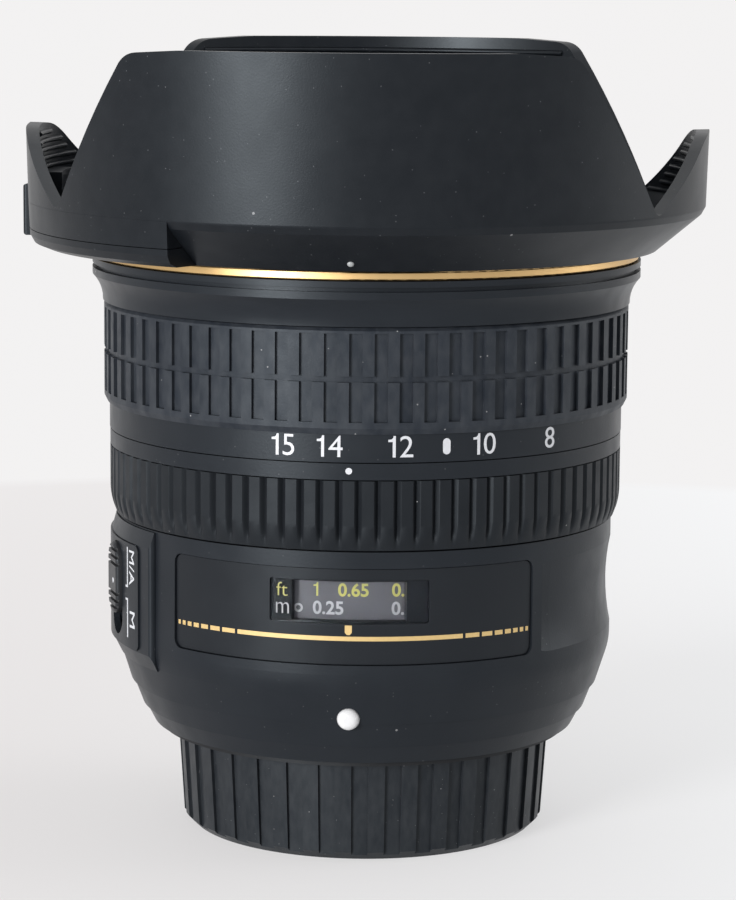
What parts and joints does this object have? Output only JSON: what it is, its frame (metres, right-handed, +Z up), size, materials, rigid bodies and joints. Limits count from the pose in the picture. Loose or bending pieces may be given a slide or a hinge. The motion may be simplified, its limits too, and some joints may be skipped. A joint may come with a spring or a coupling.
{
  "type": "fisheye zoom lens",
  "caption": "Fisheye zoom camera lens with a petal hood, rear cap, zoom and focus rings, distance window and mode switch.",
  "frame": {"origin": "centre of the rear cap's bottom face, on the optical axis", "axes": "+Z up along the optical axis towards the front element; -Y is the side with the index marks and the distance window; +X is to its right"},
  "size_m": [0.0962, 0.0964, 0.111],
  "materials": {
    "housing_black": "fine satin black paint",
    "plate_black": "smooth satin charcoal",
    "plastic_black": "matte black",
    "hood_black": "matte charcoal",
    "cap_black": "dull black, slightly dusty",
    "zoom_rubber": "matte rubber",
    "focus_rubber": "matte rubber",
    "gasket_rubber": "soft rubber",
    "gold": "satin gold",
    "mount_steel": "satin chrome",
    "screw_steel": "plain",
    "contact_gold": "polished",
    "bead_white": "glossy white",
    "window_clear": "clear, polished",
    "lens_glass": "coated, polished",
    "inner_alloy": "black anodised",
    "cam_alloy": "machined",
    "pin_brass": "turned",
    "board_green": "solder mask",
    "blade_black": "black, dull",
    "motor_metal": "plain",
    "spring_steel": "plain"
  },
  "bodies": {
    "lens_barrel": {"rear_housing": "housing_black", "bayonet_mount": "mount_steel", "mount_screws": "screw_steel", "mount_gasket": "gasket_rubber", "contact_block": "plastic_black", "contact_pins": "contact_gold", "rear_baffle": "plastic_black", "circuit_board": "board_green", "nameplate": "plate_black", "scale_window": "window_clear", "switch_plate": "plate_black", "mount_index_bead": "bead_white", "switch_spring": "spring_steel", "fixed_barrel": "inner_alloy", "guide_barrel": "inner_alloy", "cam_retaining_ring": "cam_alloy", "index_ring": "housing_black", "front_barrel": "housing_black", "gold_trim_ring": "gold", "motor_stator": "motor_metal"},
    "zoom_drive": {"zoom_ring": "housing_black", "zoom_grip": "zoom_rubber", "zoom_key": "cam_alloy", "cam_barrel": "cam_alloy"},
    "focus_drive": {"focus_ring": "housing_black", "focus_grip": "focus_rubber", "focus_key": "cam_alloy", "focus_cam_ring": "cam_alloy", "distance_scale": "plastic_black", "motor_rotor": "motor_metal"},
    "front_group": {"front_group_cell": "inner_alloy", "front_element": "lens_glass", "front_group_glass": "lens_glass", "front_group_pins": "pin_brass", "front_retaining_ring": "inner_alloy"},
    "rear_group": {"rear_group_cell": "inner_alloy", "rear_group_glass": "lens_glass", "rear_group_pins": "pin_brass", "iris_base": "inner_alloy", "iris_motor": "motor_metal"},
    "focus_group": {"focus_group_cell": "inner_alloy", "focus_group_glass": "lens_glass", "focus_group_pins": "pin_brass"},
    "iris_drive": {"iris_ring": "inner_alloy"},
    "hood": {"hood_shell": "hood_black", "hood_lock_cover": "hood_black", "hood_lock_spring": "spring_steel"},
    "hood_lock": {"hood_lock_button": "hood_black"},
    "cap": {"rear_cap": "cap_black"},
    "mode_switch": {"mode_switch_slider": "plastic_black"},
    "blade_1": {"iris_blade_1": "blade_black"},
    "blade_2": {"iris_blade_2": "blade_black"},
    "blade_3": {"iris_blade_3": "blade_black"},
    "blade_4": {"iris_blade_4": "blade_black"},
    "blade_5": {"iris_blade_5": "blade_black"},
    "blade_6": {"iris_blade_6": "blade_black"},
    "blade_7": {"iris_blade_7": "blade_black"}
  },
  "joints": [
    {"name": "zoom_turn", "type": "hinge", "parent": "lens_barrel", "child": "zoom_drive", "pos_m": [0, 0, 0.066], "axis": [0, 0, 1], "range_deg": [-47, 15]},
    {"name": "focus_turn", "type": "hinge", "parent": "lens_barrel", "child": "focus_drive", "pos_m": [0, 0, 0.05], "axis": [0, 0, 1], "range_deg": [-28.7, 15.7]},
    {"name": "front_group_slide", "type": "slide", "parent": "lens_barrel", "child": "front_group", "axis": [0, 0, 1], "range_m": [-0.00093, 0.00307]},
    {"name": "rear_group_slide", "type": "slide", "parent": "lens_barrel", "child": "rear_group", "axis": [0, 0, 1], "range_m": [-0.00461, 0.00141]},
    {"name": "focus_group_slide", "type": "slide", "parent": "lens_barrel", "child": "focus_group", "axis": [0, 0, 1], "range_m": [-0.00098, 0.00052]},
    {"name": "iris_turn", "type": "hinge", "parent": "rear_group", "child": "iris_drive", "pos_m": [0, 0, 0.0609], "axis": [0, 0, 1], "range_deg": [-30, 0]},
    {"name": "blade_1_swing", "type": "hinge", "parent": "rear_group", "child": "blade_1", "pos_m": [0.0168, 0, 0.0585], "axis": [0, 0, 1], "range_deg": [0, 24]},
    {"name": "blade_2_swing", "type": "hinge", "parent": "rear_group", "child": "blade_2", "pos_m": [0.01047, 0.01313, 0.0585], "axis": [0, 0, 1], "range_deg": [0, 24]},
    {"name": "blade_3_swing", "type": "hinge", "parent": "rear_group", "child": "blade_3", "pos_m": [-0.00374, 0.01638, 0.0585], "axis": [0, 0, 1], "range_deg": [0, 24]},
    {"name": "blade_4_swing", "type": "hinge", "parent": "rear_group", "child": "blade_4", "pos_m": [-0.01514, 0.00729, 0.0585], "axis": [0, 0, 1], "range_deg": [0, 24]},
    {"name": "blade_5_swing", "type": "hinge", "parent": "rear_group", "child": "blade_5", "pos_m": [-0.01514, -0.00729, 0.0585], "axis": [0, 0, 1], "range_deg": [0, 24]},
    {"name": "blade_6_swing", "type": "hinge", "parent": "rear_group", "child": "blade_6", "pos_m": [-0.00374, -0.01638, 0.0585], "axis": [0, 0, 1], "range_deg": [0, 24]},
    {"name": "blade_7_swing", "type": "hinge", "parent": "rear_group", "child": "blade_7", "pos_m": [0.01047, -0.01313, 0.0585], "axis": [0, 0, 1], "range_deg": [0, 24]},
    {"name": "hood_twist", "type": "hinge", "parent": "lens_barrel", "child": "hood", "pos_m": [0, 0, 0.086], "axis": [0, 0, 1], "range_deg": [0, 60]},
    {"name": "hood_lock_press", "type": "slide", "parent": "hood", "child": "hood_lock", "axis": [1, 0, 0], "range_m": [0, 0.0012], "stiffness_N_per_m": 1200, "springref_m": -0.0005, "deforming": ["hood_lock_spring"]},
    {"name": "cap_twist", "type": "hinge", "parent": "lens_barrel", "child": "cap", "pos_m": [0, 0, 0.0137], "axis": [0, 0, 1], "range_deg": [0, 60]},
    {"name": "mode_switch_slide", "type": "slide", "parent": "lens_barrel", "child": "mode_switch", "axis": [0, 0, -1], "range_m": [0, 0.0028]}
  ],
  "couplings": [
    {"joint": "zoom_turn", "follows": "front_group_slide", "rad_per_m": -261.8},
    {"joint": "rear_group_slide", "follows": "front_group_slide", "ratio": -1.5},
    {"joint": "focus_turn", "follows": "focus_group_slide", "rad_per_m": 500.33},
    {"joint": "blade_1_swing", "follows": "iris_turn", "ratio": -0.8},
    {"joint": "blade_2_swing", "follows": "iris_turn", "ratio": -0.8},
    {"joint": "blade_3_swing", "follows": "iris_turn", "ratio": -0.8},
    {"joint": "blade_4_swing", "follows": "iris_turn", "ratio": -0.8},
    {"joint": "blade_5_swing", "follows": "iris_turn", "ratio": -0.8},
    {"joint": "blade_6_swing", "follows": "iris_turn", "ratio": -0.8},
    {"joint": "blade_7_swing", "follows": "iris_turn", "ratio": -0.8}
  ]
}
